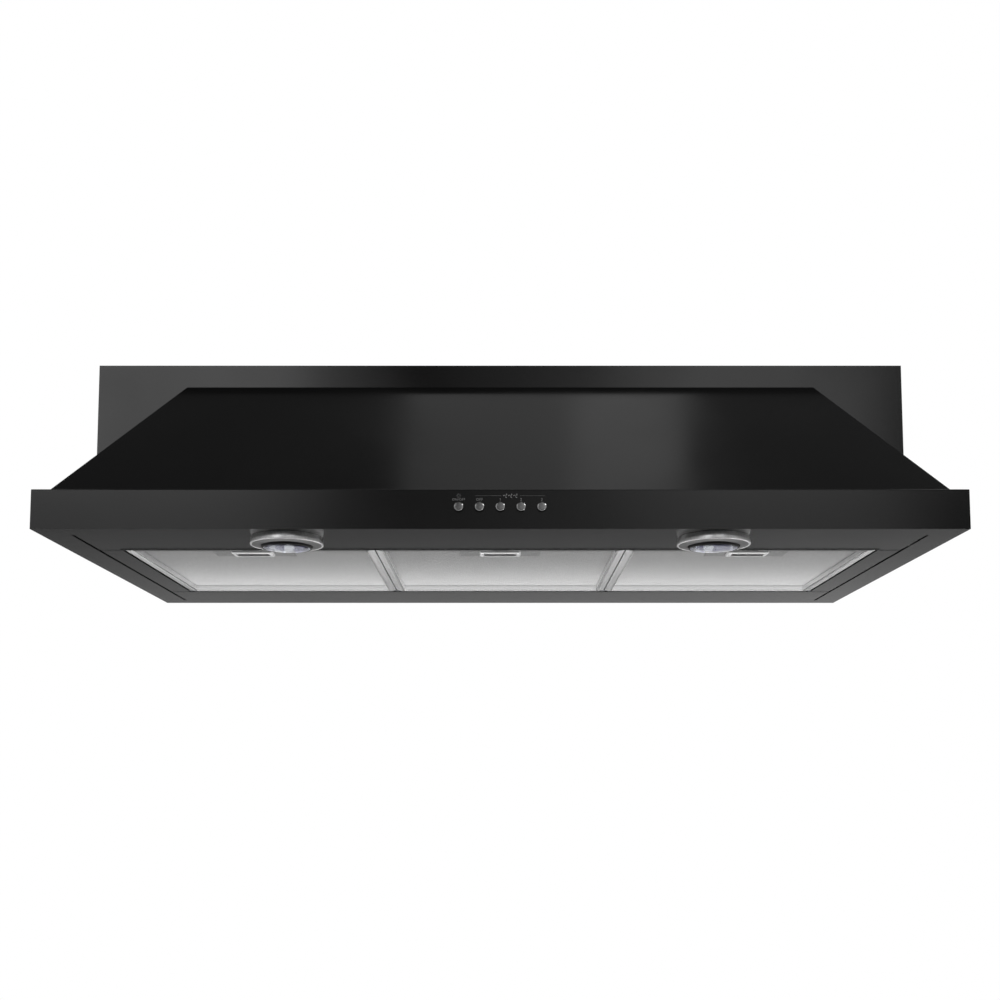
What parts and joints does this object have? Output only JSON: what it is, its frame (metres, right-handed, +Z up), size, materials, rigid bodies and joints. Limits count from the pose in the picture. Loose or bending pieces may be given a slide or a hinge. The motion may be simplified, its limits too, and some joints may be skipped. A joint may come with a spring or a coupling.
{
  "type": "under cabinet range hood",
  "caption": "Black under cabinet range hood with a sloped hipped visor, push buttons, mesh filters with finger latches, lamps, blower, damper and duct collar.",
  "frame": {"origin": "middle of the rear edge of the top face, where the cabinet's underside meets the wall", "axes": "+Z up out of the top face, +X to the right seen from the front, +Y towards the wall"},
  "size_m": [0.913, 0.4938, 0.263],
  "materials": {
    "black_paint": "satin black powder coat",
    "galvanised": "bare galvanised sheet",
    "filter_mesh": "expanded aluminium mesh",
    "filter_frame": "satin aluminium",
    "latch": "polished pressing",
    "spring_steel": "spring steel",
    "bezel": "turned steel",
    "bulb": "clear glass over a faceted reflector",
    "ceramic": "white ceramic",
    "button": "turned steel",
    "switch": "black moulding",
    "wheel": "pressed aluminium",
    "motor": "dark lacquer",
    "shaft": "ground steel",
    "capacitor": "black moulding",
    "terminal": "cream moulding",
    "cable": "black sheath",
    "clip": "white moulding",
    "screw": "zinc plated"
  },
  "bodies": {
    "hood": {"back_panel": "black_paint", "blower_housing": "galvanised", "blower_screws": "screw", "box_front_panel": "black_paint", "canopy_visor": "black_paint", "capacitor": "capacitor", "cover_screws": "screw", "exhaust_collar": "galvanised", "front_apron": "black_paint", "harness_clips": "clip", "left_filter_rail": "black_paint", "left_lamp_bezel": "bezel", "left_lamp_bulb": "bulb", "left_lamp_socket": "ceramic", "left_lamp_strap": "galvanised", "left_side_panel": "black_paint", "motor": "motor", "motor_bracket": "galvanised", "motor_screws": "screw", "rear_filter_channel": "galvanised", "right_filter_rail": "black_paint", "right_lamp_bezel": "bezel", "right_lamp_bulb": "bulb", "right_lamp_socket": "ceramic", "right_lamp_strap": "galvanised", "right_side_panel": "black_paint", "switch_block": "switch", "switch_bracket": "galvanised", "switch_harness": "cable", "terminal_block": "terminal", "top_panel": "black_paint", "underside_pan": "black_paint", "wiring_box": "galvanised", "wiring_cover": "galvanised"},
    "lamp_button": {"lamp_button": "button"},
    "off_button": {"off_button": "button"},
    "low_button": {"low_button": "button"},
    "medium_button": {"medium_button": "button"},
    "high_button": {"high_button": "button"},
    "left_filter": {"left_filter_frame": "filter_frame", "left_filter_mesh": "filter_mesh"},
    "left_latch": {"left_filter_latch": "latch", "left_filter_catch": "spring_steel"},
    "center_filter": {"center_filter_frame": "filter_frame", "center_filter_mesh": "filter_mesh"},
    "center_latch": {"center_filter_latch": "latch", "center_filter_catch": "spring_steel"},
    "right_filter": {"right_filter_frame": "filter_frame", "right_filter_mesh": "filter_mesh"},
    "right_latch": {"right_filter_latch": "latch", "right_filter_catch": "spring_steel"},
    "wheel": {"blower_wheel": "wheel", "motor_shaft": "shaft"},
    "front_damper": {"front_damper_flap": "galvanised"},
    "rear_damper": {"rear_damper_flap": "galvanised"}
  },
  "joints": [
    {"name": "lamp_button_press", "type": "slide", "parent": "hood", "child": "lamp_button", "axis": [0, 1, 0], "range_m": [0, 0.0025], "stiffness_N_per_m": 400, "springref_m": -0.001},
    {"name": "off_button_press", "type": "slide", "parent": "hood", "child": "off_button", "axis": [0, 1, 0], "range_m": [0, 0.0025], "stiffness_N_per_m": 400, "springref_m": -0.001},
    {"name": "low_button_press", "type": "slide", "parent": "hood", "child": "low_button", "axis": [0, 1, 0], "range_m": [0, 0.0025], "stiffness_N_per_m": 400, "springref_m": -0.001},
    {"name": "medium_button_press", "type": "slide", "parent": "hood", "child": "medium_button", "axis": [0, 1, 0], "range_m": [0, 0.0025], "stiffness_N_per_m": 400, "springref_m": -0.001},
    {"name": "high_button_press", "type": "slide", "parent": "hood", "child": "high_button", "axis": [0, 1, 0], "range_m": [0, 0.0025], "stiffness_N_per_m": 400, "springref_m": -0.001},
    {"name": "left_filter_drop", "type": "hinge", "parent": "hood", "child": "left_filter", "pos_m": [-0.26553, -0.101, -0.2245], "axis": [1, 0, 0], "range_deg": [0, 85], "deforming": ["left_filter_catch"]},
    {"name": "left_latch_slide", "type": "slide", "parent": "left_filter", "child": "left_latch", "axis": [0, 1, 0], "range_m": [0, 0.0065], "stiffness_N_per_m": 200, "springref_m": -0.003},
    {"name": "center_filter_drop", "type": "hinge", "parent": "hood", "child": "center_filter", "pos_m": [0, -0.101, -0.2245], "axis": [1, 0, 0], "range_deg": [0, 85], "deforming": ["center_filter_catch"]},
    {"name": "center_latch_slide", "type": "slide", "parent": "center_filter", "child": "center_latch", "axis": [0, 1, 0], "range_m": [0, 0.0065], "stiffness_N_per_m": 200, "springref_m": -0.003},
    {"name": "right_filter_drop", "type": "hinge", "parent": "hood", "child": "right_filter", "pos_m": [0.26553, -0.101, -0.2245], "axis": [1, 0, 0], "range_deg": [0, 85], "deforming": ["right_filter_catch"]},
    {"name": "right_latch_slide", "type": "slide", "parent": "right_filter", "child": "right_latch", "axis": [0, 1, 0], "range_m": [0, 0.0065], "stiffness_N_per_m": 200, "springref_m": -0.003},
    {"name": "wheel_spin", "type": "hinge", "parent": "hood", "child": "wheel", "pos_m": [0, -0.1592, -0.11], "axis": [1, 0, 0], "continuous": true},
    {"name": "front_damper_lift", "type": "hinge", "parent": "hood", "child": "front_damper", "pos_m": [0, -0.102, 0.0115], "axis": [-1, 0, 0], "range_deg": [0, 80]},
    {"name": "rear_damper_lift", "type": "hinge", "parent": "hood", "child": "rear_damper", "pos_m": [0, -0.098, 0.0115], "axis": [1, 0, 0], "range_deg": [0, 80]}
  ]
}
